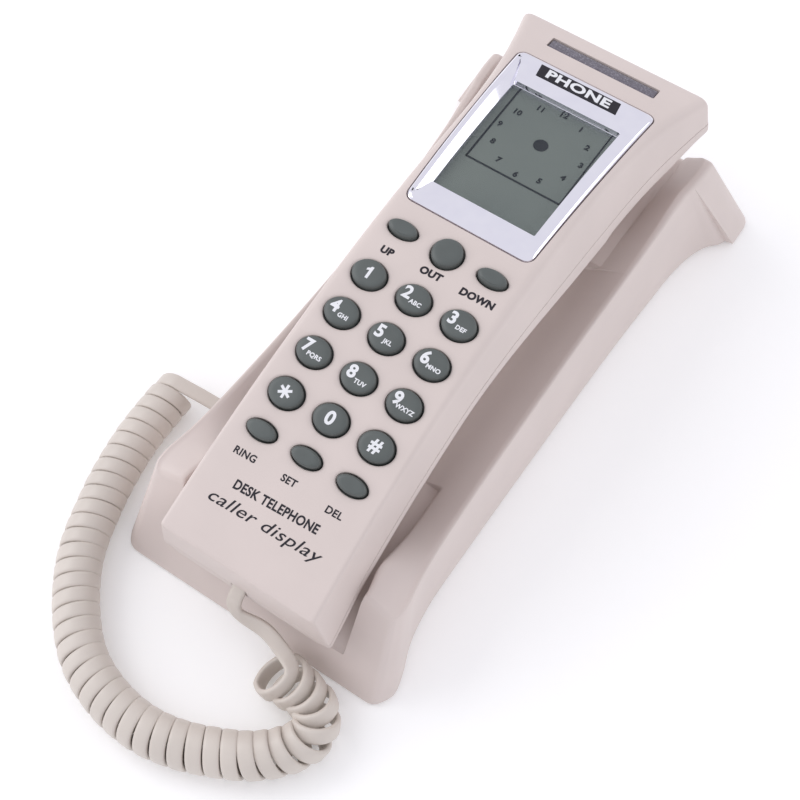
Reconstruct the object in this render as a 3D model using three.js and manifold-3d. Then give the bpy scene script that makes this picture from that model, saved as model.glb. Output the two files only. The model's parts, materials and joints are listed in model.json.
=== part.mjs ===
// Corded caller-display telephone: an arched handset with a keypad and a display, lying on a long
// waisted base, and the curly cord between them. Millimetres, +Z up, +Y towards the display end.
import * as THREE from "three";
import { mergeVertices } from "three/addons/utils/BufferGeometryUtils.js";
import Module from "manifold-3d";

const wasm = await Module();
wasm.setup();

// Driving dimensions.
const GAP = 0.3; // air between touching pieces
const WALL = 2.2; // moulded wall thickness
const ARC_RADIUS = 333; // lengthwise arch of the handset's face
const APEX_Y = 20.7; // where the face is level
const APEX_Z = 70.7; // height of the face there
const FACE_HALF_WIDTH = 25.7; // narrowest half width of the face
const FACE_NEAR = -135.9; // arc length from the apex to the mouthpiece end
const FACE_FAR = 80.3; // arc length from the apex to the display end
const SEAM_DEPTH = 14; // depth of the joint between the handset's two shells, at its near half
const GRIP_DEPTH = 22.6; // depth of the handset at the grip
const FLARE = 3.6; // how much further out its sides are at the seam than at the face
const HANDSET_SCREWS = [-70, 14]; // arc lengths of the screws in its back
const COLUMN_PITCH = 15.8;
const ROW_PITCH = 14.56;
const KEY_FIVE = -56; // arc length at the middle key
const KEY_RISE = 1.9; // height of a key above the face
const KEY_BOTTOM = 3.1; // depth of a key's foot
const KEY_GAP = 0.4; // air round a key
const DIGIT_RADII = [5.4, 4.5];
const FUNCTION_RADII = [4.8, 2.6];
const ROUND_RADII = [4.8, 4.8];
const BEZEL = { near: -13, far: 60.2, nearHalf: 22.3, farHalf: 25.3 };
const SCREEN = { near: -3.7, far: 45.9, nearHalf: 18.2, farHalf: 19.3 };
const LAMP = { near: 68.2, far: 72.8, half: 19.8 };
const LAMP_MIDDLE = (LAMP.near + LAMP.far) / 2;
const SCREEN_MIDDLE = (SCREEN.near + SCREEN.far) / 2;
const KEYPAD = { near: -105, far: -16, nearHalf: 21.4, farHalf: 21.4 };
const BASE_BOTTOM = 1; // the base stands this high on its pads
const BASE_END = 111.5; // half length of the base at the table
const WELL_HALF = 33.6; // half width of the mouthpiece well at its open near end
const MOUTH_FLOOR = 21.6; // height of the mouthpiece well's floor
const WELL_LIP = 11; // the well's floor drops to this at its open near end
const EAR_FLOOR = 26.9; // height of the earpiece well's floor
const TROUGH_FLOOR = 21; // height of the finger trough's floor
const PLUNGER_Y = 72; // the hook switch and its plunger
const PLUNGER_TOP = 28.1;
const BASE_SCREWS = [[-37, -84], [37, -84], [-37, 66], [37, 66]];
const PADS = [[-34, -96], [34, -96], [-40, 94], [40, 94]];
const COIL_DIAMETER = 14;
const COIL_HEIGHT = 7.3; // height of the coil's centre line
const TAIL_DIAMETER = 3;
const SOCKET_Y = -59; // where the curly cord enters the base
const EXIT_Y = -110; // the handset's near end at the cord's exit
const CORD_X = -2; // the cord leaves the handset a little left of its middle
const JACK_Z = 26.8; // height of the handset's cord socket
const PLUG_HALF = 4.6; // half width of the openings that take a modular plug

const COLOURS = {
  shell: [0xd9cdc8, 0.55, 0],
  key: [0x66706d, 0.6, 0],
  chrome: [0xe4e3ee, 0.12, 1],
  window: [0xc4d0ca, 0.08, 0],
  display: [0x7d877f, 0.5, 0],
  lens: [0x6b6672, 0.2, 0],
  cord: [0xdcd5cb, 0.5, 0],
  board: [0x2f6b3c, 0.6, 0],
  rubber: [0x8a8683, 0.9, 0],
  steel: [0x9a9c9f, 0.35, 1],
  dark: [0x2b2b2e, 0.6, 0],
  plug: [0xe8e8e8, 0.15, 0],
};

const root = new THREE.Group();

// Closed geometry to a solid, and back.
function solid(geometry) {
  const bare = geometry.clone();
  bare.deleteAttribute("normal");
  bare.deleteAttribute("uv");
  const merged = mergeVertices(bare, 1e-4);
  return new wasm.Manifold(
    new wasm.Mesh({
      numProp: 3,
      vertProperties: new Float32Array(merged.attributes.position.array),
      triVerts: new Uint32Array(merged.index.array),
    }),
  );
}

function add(name, colour, shape) {
  const made = shape.getMesh();
  const geometry = new THREE.BufferGeometry();
  geometry.setAttribute("position", new THREE.BufferAttribute(made.vertProperties, 3));
  geometry.setIndex(new THREE.BufferAttribute(made.triVerts, 1));
  geometry.computeVertexNormals();
  const [color, roughness, metalness] = COLOURS[colour];
  const material = new THREE.MeshStandardMaterial({ color, roughness, metalness });
  const mesh = new THREE.Mesh(geometry, material);
  mesh.name = name;
  root.add(mesh);
}

// Plain shapes.
function polygon(points) {
  return new THREE.Shape(points.map(([x, y]) => new THREE.Vector2(x, y)));
}

// An outline from its right-hand half.
function mirrored(points) {
  return polygon([...points, ...points.map(([x, y]) => [-x, y]).toReversed()]);
}

function box(x0, x1, y0, y1, z0, z1) {
  const geometry = new THREE.BoxGeometry(x1 - x0, y1 - y0, z1 - z0);
  geometry.translate((x0 + x1) / 2, (y0 + y1) / 2, (z0 + z1) / 2);
  return solid(geometry);
}

function post(x, y, z0, z1, radius, sides = 20) {
  const geometry = new THREE.CylinderGeometry(radius, radius, z1 - z0, sides);
  geometry.rotateX(Math.PI / 2);
  geometry.translate(x, y, (z0 + z1) / 2);
  return solid(geometry);
}

// A section drawn in x and y, carried through a list of stations; place gives each point's position.
function sweep(section, stations, place) {
  const steps = stations.length - 1;
  const geometry = new THREE.ExtrudeGeometry(section, { depth: steps, steps, bevelEnabled: false });
  const position = geometry.attributes.position;
  for (let i = 0; i < position.count; i += 1) {
    const station = stations[Math.round(position.getZ(i))];
    const [x, y, z] = place(position.getX(i), position.getY(i), station);
    position.setXYZ(i, x, y, z);
  }
  return solid(geometry);
}

// The handset's own frame: x across, s along the arched face from its apex, h down into the handset.
function onArch(x, s, h) {
  const turn = s / ARC_RADIUS;
  const reach = ARC_RADIUS - h;
  const centre = APEX_Z - ARC_RADIUS;
  return [x, APEX_Y + reach * Math.sin(turn), centre + reach * Math.cos(turn)];
}

function widening(s) {
  const far = Math.max(0, (s - 10) / 70);
  const near = Math.max(0, (-60 - s) / 75);
  return 8.3 * far ** 2.15 + 1.5 * near ** 1.5;
}

function smooth(s, from, to) {
  const t = Math.min(1, Math.max(0, (s - from) / (to - from)));
  return t * t * (3 - 2 * t);
}

// The joint between the shells runs straighter than the arch: deepest near the display's foot.
function seamDepth(s) {
  const towardsEnd = Math.max(0, (s - 25) / 56) ** 1.6;
  return SEAM_DEPTH + 5.2 * smooth(s, -60, 25) - 8.6 * towardsEnd + 3 * (1 - smooth(s, FACE_NEAR, -118));
}

// How far the mouthpiece cup and the earpiece cup stand out of the underside, from 0 to 1.
function mouthCup(s) {
  return smooth(s, -137, -127) - smooth(s, -100, -82);
}

function earCup(s) {
  return smooth(s, 24, 36) - smooth(s, 66, 78);
}

function undersideDepth(s) {
  const body = GRIP_DEPTH + 4.6 * smooth(s, -60, 15) - 9.6 * smooth(s, 70, FACE_FAR);
  return body + 4.4 * mouthCup(s) + 10 * earCup(s);
}

// Stations along the arch: the ends draw in so that the plan corners are rounded.
function archStations(inset) {
  const near = FACE_NEAR + inset;
  const far = FACE_FAR - inset;
  const list = [[near, -1.7], [near + 0.6, -0.6], [near + 2.4, -0.1]];
  const count = 19;
  for (let i = 1; i < count; i += 1) {
    list.push([near + 2.4 + ((far - near - 5.2) * i) / count, 0]);
  }
  list.push([far - 2.8, -0.1], [far - 0.9, -0.9], [far, -2.4]);
  return list.map(([s, draw]) => ({ s, draw, inset }));
}

function onShell(x, h, station) {
  const half = FACE_HALF_WIDTH + widening(station.s) + station.draw;
  const rake = -0.36 * (1 - smooth(station.s, FACE_NEAR, FACE_NEAR + 14));
  return onArch((x * half) / FACE_HALF_WIDTH, station.s + rake * h, h);
}

function onFrontShell(x, v, station) {
  return onShell(x, v * seamDepth(station.s), station);
}

function onRearShell(x, v, station) {
  const top = seamDepth(station.s) + GAP;
  const depth = undersideDepth(station.s) - station.inset;
  const tuck = 0.2 * (mouthCup(station.s) + earCup(station.s)) * smooth(v, 0.42, 0.56);
  return onShell(x * (1 - tuck), top + v * (depth - top), station);
}

// A flat frame touching the arch at s, for pieces that are flat themselves.
function placed(shape, s, x = 0) {
  const [px, py, pz] = onArch(x, s, 0);
  const matrix = new THREE.Matrix4().makeRotationX(-s / ARC_RADIUS);
  matrix.setPosition(px, py, pz);
  return shape.transform(matrix.elements);
}

function oval([a, b], grow, top, bottom, sides = 24) {
  const geometry = new THREE.CylinderGeometry(1, 1, top - bottom, sides);
  geometry.rotateX(Math.PI / 2);
  geometry.scale(a + grow, b + grow, 1);
  geometry.translate(0, 0, (top + bottom) / 2);
  return solid(geometry);
}

// Keys: name, column, arc length, radii.
const KEYS = [];
["1", "2", "3", "4", "5", "6", "7", "8", "9", "star", "0", "hash"].forEach((label, i) => {
  const row = Math.floor(i / 3);
  KEYS.push([`key_${label}`, (i % 3) - 1, KEY_FIVE + (1 - row) * ROW_PITCH, DIGIT_RADII]);
});
["up", "out", "down"].forEach((label, i) => {
  KEYS.push([`key_${label}`, i - 1, -23.3, i === 1 ? ROUND_RADII : FUNCTION_RADII]);
});
["ring", "set", "del"].forEach((label, i) => {
  KEYS.push([`key_${label}`, i - 1, -98, FUNCTION_RADII]);
});

function keyHole([, column, s, radii]) {
  return placed(oval(radii, KEY_GAP, 4, -6), s, column * COLUMN_PITCH);
}

function key([, column, s, radii]) {
  const cap = oval(radii, 0, KEY_RISE - 0.5, -KEY_BOTTOM);
  const crown = oval(radii, -0.6, KEY_RISE, KEY_RISE - 1);
  const flange = oval(radii, 1, -WALL - GAP, -KEY_BOTTOM);
  return placed(cap.add(crown).add(flange), s, column * COLUMN_PITCH);
}

// A frame outline on the arch between two depths, narrower towards the keypad.
function archPlate(outline, grow, top, bottom) {
  const { near, far, nearHalf, farHalf } = outline;
  const stations = [];
  const steps = 8;
  for (let i = 0; i <= steps; i += 1) {
    const s = near - grow + ((far - near + 2 * grow) * i) / steps;
    const half = nearHalf + ((farHalf - nearHalf) * (s - near)) / (far - near) + grow;
    stations.push({ s, half });
  }
  const section = polygon([[-1, top], [1, top], [1, bottom], [-1, bottom]]);
  return sweep(section, stations, (x, h, station) => onArch(x * station.half, station.s, h));
}

// The mouth of the cord socket, through both shells' end walls.
function cordNotch() {
  const [x0, x1] = [CORD_X - PLUG_HALF, CORD_X + PLUG_HALF];
  return box(x0, x1, EXIT_Y - 12, EXIT_Y + 6, JACK_Z - 3.3, JACK_Z + 3.3);
}

function handsetFrontShell() {
  const w = FACE_HALF_WIDTH;
  const outer = mirrored([
    [w - 2.8, 0], [w - 1.2, 0.022], [w - 0.2, 0.083], [w + 0.2, 0.167], [w + FLARE, 1],
  ]);
  const inner = mirrored([[w - WALL - 1.2, 0.13], [w - WALL, 0.21], [w + FLARE - WALL, 1.06]]);
  let shell = sweep(outer, archStations(0), onFrontShell);
  shell = shell.subtract(sweep(inner, archStations(WALL), onFrontShell));
  KEYS.forEach((entry) => {
    shell = shell.subtract(keyHole(entry));
  });
  const frameRecess = archPlate(BEZEL, GAP, -2, 1.3);
  const frameOpening = archPlate(SCREEN, 1, -2, 6);
  const lampHalf = LAMP.half + GAP;
  const lampSlot = placed(box(-lampHalf, lampHalf, -2.6, 2.6, -6, 4), LAMP_MIDDLE);
  return shell.subtract(frameRecess).subtract(frameOpening).subtract(lampSlot).subtract(cordNotch());
}

function handsetRearShell() {
  const w = FACE_HALF_WIDTH + FLARE;
  const v = w - WALL;
  const outer = mirrored([[w, 0], [w, 0.42], [w - 0.5, 0.56], [w - 1.8, 0.86], [w - 4.6, 1]]);
  const inner = mirrored([[v, -0.2], [v, 0.4], [v - 0.8, 0.54], [v - 3.4, 1]]);
  let shell = sweep(outer, archStations(0), onRearShell);
  shell = shell.subtract(sweep(inner, archStations(WALL), onRearShell));
  HANDSET_SCREWS.forEach((s) => {
    const depth = undersideDepth(s);
    const top = -seamDepth(s) - 1;
    const boss = placed(oval([3.6, 3.6], 0, top, -depth + 0.5, 16), s);
    const hole = placed(oval([1.7, 1.7], 0, top + 3, -depth - 2, 16), s);
    const well = placed(oval([3, 3], 0, -depth + 1.9, -depth - 2, 16), s);
    shell = shell.add(boss).subtract(hole).subtract(well);
  });
  return shell.subtract(cordNotch());
}

function handsetScrew(s) {
  const depth = undersideDepth(s);
  const head = oval([2.6, 2.6], 0, -depth + 1.6, -depth + 0.2, 16);
  const shank = oval([1.3, 1.3], 0, -seamDepth(s) + 0.6, -depth + 1, 12);
  return placed(head.add(shank), s);
}

// The base's outline at the table and along its two crests. By the mouthpiece the crest's top falls
// away outwards.
const BASE_STATIONS = [
  { y: -BASE_END, foot: 46.4, crest: 42.6, top: 36.2, lean: 18, fall: 2.8 },
  { y: -110, foot: 48.8, crest: 43.8, top: 36.6, lean: 17.3, fall: 2.8 },
  { y: -105, foot: 50, crest: 44.4, top: 36.8, lean: 14.6, fall: 2.8 },
  { y: -98, foot: 48.4, crest: 44.3, top: 36.6, lean: 11, fall: 2.6 },
  { y: -90, foot: 45.4, crest: 43.6, top: 36.2, lean: 7, fall: 2 },
  { y: -80, foot: 43.5, crest: 42.8, top: 35.4, lean: 2.5, fall: 0.9 },
  { y: -68, foot: 42.8, crest: 42, top: 34.6, lean: 0, fall: 0 },
  { y: -45, foot: 42.9, crest: 41.1, top: 33, lean: 0, fall: 0 },
  { y: -15, foot: 43.2, crest: 40.5, top: 31.7, lean: 0, fall: 0 },
  { y: 15, foot: 43.6, crest: 40.2, top: 31.6, lean: 0, fall: 0 },
  { y: 40, foot: 44.2, crest: 40.6, top: 32.8, lean: 0, fall: 0 },
  { y: 60, foot: 45.1, crest: 41.2, top: 35, lean: 0, fall: 0 },
  { y: 76, foot: 46.2, crest: 41.7, top: 37, lean: -4, fall: 0 },
  { y: 86, foot: 48.4, crest: 42, top: 38.2, lean: -8, fall: 0 },
  { y: 92, foot: 51.6, crest: 42.3, top: 38.8, lean: -11, fall: 0 },
  { y: 95.4, foot: 54.8, crest: 42.5, top: 39.1, lean: -13, fall: 0 },
  { y: 97, foot: 57, crest: 42.6, top: 39.2, lean: -13.8, fall: 0 },
  { y: 97.5, foot: 57.8, crest: 43.2, top: 39.3, lean: -14, fall: 0 },
  { y: 108.5, foot: 57.7, crest: 43.2, top: 39.3, lean: -14.6, fall: 0 },
  { y: BASE_END, foot: 55.4, crest: 41.4, top: 38, lean: -15, fall: 0 },
];

function onBase(u, v, station) {
  const x = u * (station.foot + (station.crest - station.foot) * v);
  const drop = (station.fall * v * Math.max(0, Math.abs(u) - 0.75)) / 0.25;
  return [x, station.y + station.lean * v, BASE_BOTTOM + v * (station.top - BASE_BOTTOM) - drop];
}

// A straight channel: stations give the half widths at its top and floor, and both heights.
function channel(stations) {
  const section = polygon([[-1, 0], [1, 0], [1, 1], [-1, 1]]);
  return sweep(section, stations.toReversed(), (u, v, { y, floorHalf, topHalf, floor, top }) => [
    u * (floorHalf + (topHalf - floorHalf) * v),
    y,
    floor + v * (top - floor),
  ]);
}

function troughStation(y, crest, top, floor) {
  const slope = (top - floor) / (crest - 1 - 24);
  const rise = 8;
  return { y, floorHalf: 24, topHalf: crest - 1 + rise / slope, floor, top: top + rise };
}

// The hollow under the base's top shell.
const BASE_CAVITY = [
  { y: -106, floorHalf: 44, topHalf: 43, floor: -2, top: 6 },
  { y: -98, floorHalf: 44, topHalf: 42, floor: -2, top: 9 },
  { y: -88, floorHalf: 41.6, topHalf: 40, floor: -2, top: 18.4 },
  { y: -60, floorHalf: 40.2, topHalf: 39, floor: -2, top: 18.8 },
  { y: 44, floorHalf: 41, topHalf: 38, floor: -2, top: 18.6 },
  { y: 60, floorHalf: 42, topHalf: 38.4, floor: -2, top: 19.6 },
  { y: 84, floorHalf: 44, topHalf: 39, floor: -2, top: 22 },
  { y: 98, floorHalf: 50, topHalf: 40, floor: -2, top: 20 },
  { y: 106, floorHalf: 52, topHalf: 44, floor: -2, top: 8 },
];

function cavityHalf({ floorHalf, topHalf, floor, top }, z) {
  return floorHalf + ((topHalf - floorHalf) * (z - floor)) / (top - floor);
}

function baseTopShell() {
  const outer = mirrored([[1, 0], [1, 0.55], [1, 0.93], [0.985, 0.985], [0.96, 1], [0.75, 1]]);
  let shell = sweep(outer, BASE_STATIONS.toReversed(), onBase);
  const trough = channel([
    { y: -130, floorHalf: 24, topHalf: 44, floor: 39, top: 50 },
    { y: -84, floorHalf: 24, topHalf: 44, floor: 39, top: 50 },
    troughStation(-60, 41.7, 33.9, 23.6),
    troughStation(-40, 41, 32.7, TROUGH_FLOOR),
    troughStation(20, 40.2, 31.5, TROUGH_FLOOR),
    troughStation(60, 41.2, 35, 22.6),
    troughStation(76, 41.9, 38, 24),
    troughStation(99, 42.4, 39.3, 25.6),
    troughStation(130, 42.6, 39.3, 27),
  ]);
  const mouthWell = channel([
    { y: -130, floorHalf: WELL_HALF, topHalf: WELL_HALF, floor: WELL_LIP, top: 60 },
    { y: -104, floorHalf: WELL_HALF, topHalf: WELL_HALF, floor: WELL_LIP + 0.4, top: 60 },
    { y: -93, floorHalf: WELL_HALF - 2, topHalf: WELL_HALF - 1.4, floor: MOUTH_FLOOR, top: 60 },
    { y: -49, floorHalf: 29.2, topHalf: 29.8, floor: MOUTH_FLOOR, top: 60 },
  ]);
  const earWell = channel([
    { y: 46, floorHalf: 29.8, topHalf: 30.4, floor: EAR_FLOOR, top: 60 },
    { y: 92, floorHalf: 31.4, topHalf: 32, floor: EAR_FLOOR, top: 60 },
    { y: 130, floorHalf: 32, topHalf: 32.6, floor: EAR_FLOOR, top: 60 },
  ]);
  shell = shell.subtract(trough).subtract(mouthWell).subtract(earWell);
  shell = shell.subtract(channel(BASE_CAVITY));
  BASE_SCREWS.forEach(([x, y]) => {
    const boss = post(x, y, 4, 20, 3.6);
    shell = shell.add(boss).subtract(post(x, y, 2, 14, 1.7, 16));
  });
  const plungerHole = box(-3.4, 3.4, PLUNGER_Y - 3.4, PLUNGER_Y + 3.4, 10, 40);
  const cordHole = box(-60, -38, SOCKET_Y - 6.2, SOCKET_Y + 6.2, 5.4, 14.6);
  const lineHole = box(-6.2, 6.2, 90, 130, 3.4, 11.6);
  return shell.subtract(plungerHole).subtract(cordHole).subtract(lineHole);
}

function bottomCover() {
  const top = BASE_BOTTOM + 2;
  let cover = channel(
    BASE_CAVITY.map((station) => ({
      y: station.y - Math.sign(station.y) * 0.4,
      floorHalf: cavityHalf(station, BASE_BOTTOM) - 1,
      topHalf: cavityHalf(station, top) - 1,
      floor: BASE_BOTTOM,
      top,
    })),
  );
  BASE_SCREWS.forEach(([x, y]) => {
    cover = cover.subtract(post(x, y, 0, 4, 3.1, 16));
  });
  return cover;
}

function baseScrew([x, y]) {
  return post(x, y, 1.3, 3.4, 2.7, 16).add(post(x, y, 3, 12, 1.3, 12));
}

// A modular socket: a block with a pocket open along the given direction (+1 or -1) of y.
function socketBlock(width, depth, height, direction) {
  const block = box(-width / 2, width / 2, -depth / 2, depth / 2, -height / 2, height / 2);
  const inner = box(-4.2, 4.2, -depth / 2 + 2, depth / 2 + 2, -2.7, 2.7);
  const cut = block.subtract(inner);
  return direction > 0 ? cut : cut.rotate([0, 0, 180]);
}

function plugBody(length) {
  return box(-3.8, 3.8, -length / 2, length / 2, -2.4, 2.4);
}

// Handset parts.
add("handset_front_shell", "shell", handsetFrontShell());
add("handset_rear_shell", "shell", handsetRearShell());
add("display_bezel", "chrome", archPlate(BEZEL, 0, -0.3, 1).subtract(archPlate(SCREEN, 0, -2, 4)));

add("display_window", "window", placed(box(-18.8, 18.8, -25.2, 25.2, -3.2, -2.4), SCREEN_MIDDLE));
add("lcd_panel", "display", placed(box(-19.6, 19.6, -26, 26, -6.2, -3.6), SCREEN_MIDDLE));

add("ring_lamp_lens", "lens", placed(box(-LAMP.half, LAMP.half, -2.3, 2.3, -2.4, -0.2), LAMP_MIDDLE));
add("ring_lamp", "plug", placed(box(-2.5, 2.5, -1.6, 1.6, -6, -2.8), LAMP_MIDDLE));

add("main_board", "board", placed(box(-20, 20, -45, 45, -13, -11.4), -58));
add("keypad_membrane", "rubber", archPlate(KEYPAD, 0, KEY_BOTTOM + 1.6, KEY_BOTTOM + 2.6));
add("ear_speaker", "dark", placed(oval([13, 13], 0, -25, -33, 28), 50));
add("microphone", "dark", placed(oval([4.8, 4.8], 0, -18.6, -23, 20), -108));
HANDSET_SCREWS.forEach((s, i) => add(`handset_screw_${i + 1}`, "steel", handsetScrew(s)));
KEYS.forEach((entry) => add(entry[0], "key", key(entry)));

// The curly cord's handset end.
const jack = socketBlock(10, 10, 6, -1).translate([CORD_X, EXIT_Y + 9.1, JACK_Z]);
add("handset_socket", "dark", jack);
add("handset_plug", "plug", plugBody(10).translate([CORD_X, EXIT_Y + 6.4, JACK_Z]));

// Base parts.
add("base_top_shell", "shell", baseTopShell());
add("base_bottom_cover", "shell", bottomCover());
BASE_SCREWS.forEach((at, i) => add(`base_screw_${i + 1}`, "steel", baseScrew(at)));
PADS.forEach(([x, y], i) => {
  add(`foot_pad_${i + 1}`, "rubber", post(x, y, 0, BASE_BOTTOM - GAP, 6, 24));
});
add("base_weight", "steel", box(-26, 26, -84, -66, 3.4, 14));
add("base_board", "board", box(-28, 28, -44, 36, 5, 6.6));
add("ringer", "dark", post(0, -22, 7, 12, 11, 28));
add("hook_switch", "dark", box(-6, 6, PLUNGER_Y - 5, PLUNGER_Y + 5, 4, 9));
const plunger = box(-3, 3, PLUNGER_Y - 3, PLUNGER_Y + 3, 15.6, PLUNGER_TOP);
add("hook_plunger", "shell", plunger.add(box(-4.6, 4.6, PLUNGER_Y - 4.6, PLUNGER_Y + 4.6, 14, 16)));
add("hook_spring", "steel", post(0, PLUNGER_Y, 9.3, 13.7, 2.4, 12));
add("line_socket", "dark", socketBlock(12, 14, 7.6, 1).translate([0, 98.6, 7.5]));
const cordJack = socketBlock(12, 12, 8.6, 1).rotate([0, 0, 90]);
add("cord_socket", "dark", cordJack.translate([-38.6, SOCKET_Y, 10]));
add("base_plug", "plug", plugBody(9).rotate([0, 0, 90]).translate([-40.4, SOCKET_Y, 10]));

// The cord: a thin tail from each plug, and one fat tube round the coil between them.
const COIL_ROUTE = [
  [17.6, -121], [27, -121.2], [35, -125], [38, -133], [35, -141.4], [27.6, -147.4], [18, -151.4],
  [6.6, -155.2], [-6, -156.8], [-20.1, -154.8], [-33.7, -148.8], [-46, -137.2], [-55.6, -122.9],
  [-61.5, -106.1], [-64.6, -93.3], [-66.4, -79.5], [-66.8, -63.4],
];
const HANDSET_TAIL = [
  [CORD_X, EXIT_Y + 0.7, JACK_Z], [CORD_X, EXIT_Y - 3, JACK_Z - 0.8], [-1, EXIT_Y - 6.6, 20],
  [2.4, -118.4, 12], [9, -120.4, 8], [17.2, -121, COIL_HEIGHT],
];
const BASE_TAIL = [
  [-66.8, -62.6, COIL_HEIGHT], [-67, -60, 8.4], [-64, -58.6, 9.8], [-56, -58.8, 10.2], [-45.3, SOCKET_Y, 10],
];

function tube(points, diameter, sides, steps) {
  const curve = new THREE.CatmullRomCurve3(points.map((p) => new THREE.Vector3(...p)));
  const ring = [];
  for (let i = 0; i < sides; i += 1) {
    const angle = (2 * Math.PI * (i + 0.5)) / sides;
    ring.push([(Math.cos(angle) * diameter) / 2, (Math.sin(angle) * diameter) / 2]);
  }
  const options = { steps, extrudePath: curve, bevelEnabled: false };
  return solid(new THREE.ExtrudeGeometry(polygon(ring), options));
}

add("cord_coil", "cord", tube(COIL_ROUTE.map(([x, y]) => [x, y, COIL_HEIGHT]), COIL_DIAMETER, 12, 30));
add("cord_tail_handset", "cord", tube(HANDSET_TAIL, TAIL_DIAMETER, 8, 8));
add("cord_tail_base", "cord", tube(BASE_TAIL, TAIL_DIAMETER, 8, 8));

export default root;
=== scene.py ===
import json
import math

import bmesh
import bpy
import numpy as np
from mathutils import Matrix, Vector


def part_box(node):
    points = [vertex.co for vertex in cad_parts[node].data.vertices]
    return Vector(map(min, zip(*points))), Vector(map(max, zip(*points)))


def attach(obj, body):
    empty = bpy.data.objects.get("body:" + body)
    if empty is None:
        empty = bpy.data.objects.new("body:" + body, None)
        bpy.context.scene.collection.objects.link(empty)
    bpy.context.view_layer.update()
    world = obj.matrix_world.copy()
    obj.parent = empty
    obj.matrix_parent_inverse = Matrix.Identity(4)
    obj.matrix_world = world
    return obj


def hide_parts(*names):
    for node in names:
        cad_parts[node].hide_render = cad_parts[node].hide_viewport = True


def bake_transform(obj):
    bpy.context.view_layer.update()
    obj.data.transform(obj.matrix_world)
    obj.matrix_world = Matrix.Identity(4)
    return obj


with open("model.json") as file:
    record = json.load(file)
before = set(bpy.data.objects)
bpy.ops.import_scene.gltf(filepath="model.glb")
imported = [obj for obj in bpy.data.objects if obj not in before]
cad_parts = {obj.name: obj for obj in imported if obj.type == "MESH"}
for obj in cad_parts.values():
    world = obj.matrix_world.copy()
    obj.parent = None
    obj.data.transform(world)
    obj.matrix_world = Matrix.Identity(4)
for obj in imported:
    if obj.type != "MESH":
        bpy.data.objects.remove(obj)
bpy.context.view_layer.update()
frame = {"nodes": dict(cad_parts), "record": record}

MM = 0.001


def node_box(node):
    """A CAD node's lowest and highest corners in millimetres."""
    low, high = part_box(node)
    return np.array(low) / MM, np.array(high) / MM


# ---------------------------------------------------------------- driving dimensions
ARC_RADIUS = 333.0  # lengthwise arch of the handset's face
APEX_Y = 20.7
APEX_Z = 70.7
FACE_HALF = 25.7
FACE_NEAR = -135.9
FACE_FAR = 80.8
SEAM_DEPTH = 14.0
GRIP_DEPTH = 22.6
RAKE_REACH = 14.0
WALL = 2.2
GAP = 0.3
KEY_GAP = 0.55
BEZEL = {"near": -13.0, "far": 60.2, "near_half": 22.3, "far_half": 25.3}
SCREEN = {"near": -3.7, "far": 45.9, "near_half": 18.2, "far_half": 19.3}
LAMP = {"near": 68.2, "far": 72.8, "half": 19.8}
BASE_BOTTOM = node_box("base_top_shell")[0][2]
BASE_END = node_box("base_top_shell")[1][1]
EAR_FLOOR = 26.9
TROUGH_FLOOR = 21.0
MOUTH_FLOOR = 21.6
WELL_LIP = 12.0
COIL_RADIUS = 7.3
COIL_HEIGHT = 7.4
RIBBON_WIDTH = 4.85
RIBBON_THICK = 1.9


def smooth(value, start, end):
    t = min(1.0, max(0.0, (value - start) / (end - start)))
    return t * t * (3 - 2 * t)


# ---------------------------------------------------------------- camera
camera_data = bpy.data.cameras.new("camera")
camera_data.lens = 67.5
camera_data.sensor_width = 36
camera_data.clip_start = 0.01
camera = bpy.data.objects.new("camera", camera_data)
camera.location = (0.12747, -0.21731, 0.44110)
camera.rotation_euler = (math.radians(28.36), 0, math.radians(33.897))
bpy.context.scene.collection.objects.link(camera)
bpy.context.scene.camera = camera


# ---------------------------------------------------------------- mesh making
def new_object(name, points, faces, material=None, angle=35):
    """A smooth-shaded mesh object; points in millimetres."""
    mesh = bpy.data.meshes.new(name)
    mesh.from_pydata([tuple(np.array(p) * MM) for p in points], [], faces)
    mesh.validate()
    obj = bpy.data.objects.new(name, mesh)
    bpy.context.scene.collection.objects.link(obj)
    finish_mesh(obj, angle)
    if material:
        mesh.materials.append(material)
    return obj


def finish_mesh(obj, angle=35):
    """Faces outward, smooth shading with sharp edges over the given angle."""
    bm = bmesh.new()
    bm.from_mesh(obj.data)
    bmesh.ops.recalc_face_normals(bm, faces=bm.faces)
    bm.to_mesh(obj.data)
    bm.free()
    obj.data.shade_smooth()
    obj.data.set_sharp_from_angle(angle=math.radians(angle))


def skin(rings, closed=False):
    """Points and faces of a tube through rings of equal length, capped unless it closes on itself."""
    count = len(rings[0])
    points = [p for ring in rings for p in ring]
    faces = []
    spans = len(rings) if closed else len(rings) - 1
    for i in range(spans):
        a, b = i * count, ((i + 1) % len(rings)) * count
        for j in range(count):
            k = (j + 1) % count
            faces.append((a + j, a + k, b + k, b + j))
    if not closed:
        faces.append(tuple(reversed(range(count))))
        faces.append(tuple(range((len(rings) - 1) * count, len(rings) * count)))
    return points, faces


def boolean(obj, operation, other):
    """Joins or cuts obj with other, which is used up."""
    modifier = obj.modifiers.new("boolean", "BOOLEAN")
    modifier.operation = operation
    modifier.solver = "EXACT"
    modifier.object = other
    graph = bpy.context.evaluated_depsgraph_get()
    made = bpy.data.meshes.new_from_object(obj.evaluated_get(graph))
    obj.modifiers.clear()
    obj.data = made
    bpy.data.objects.remove(other)
    return obj


def merged(name, pieces):
    """One object from several lists of points and faces."""
    points, faces = [], []
    for more_points, more_faces in pieces:
        start = len(points)
        points += list(more_points)
        faces += [tuple(i + start for i in face) for face in more_faces]
    return new_object(name, points, faces)


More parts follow.
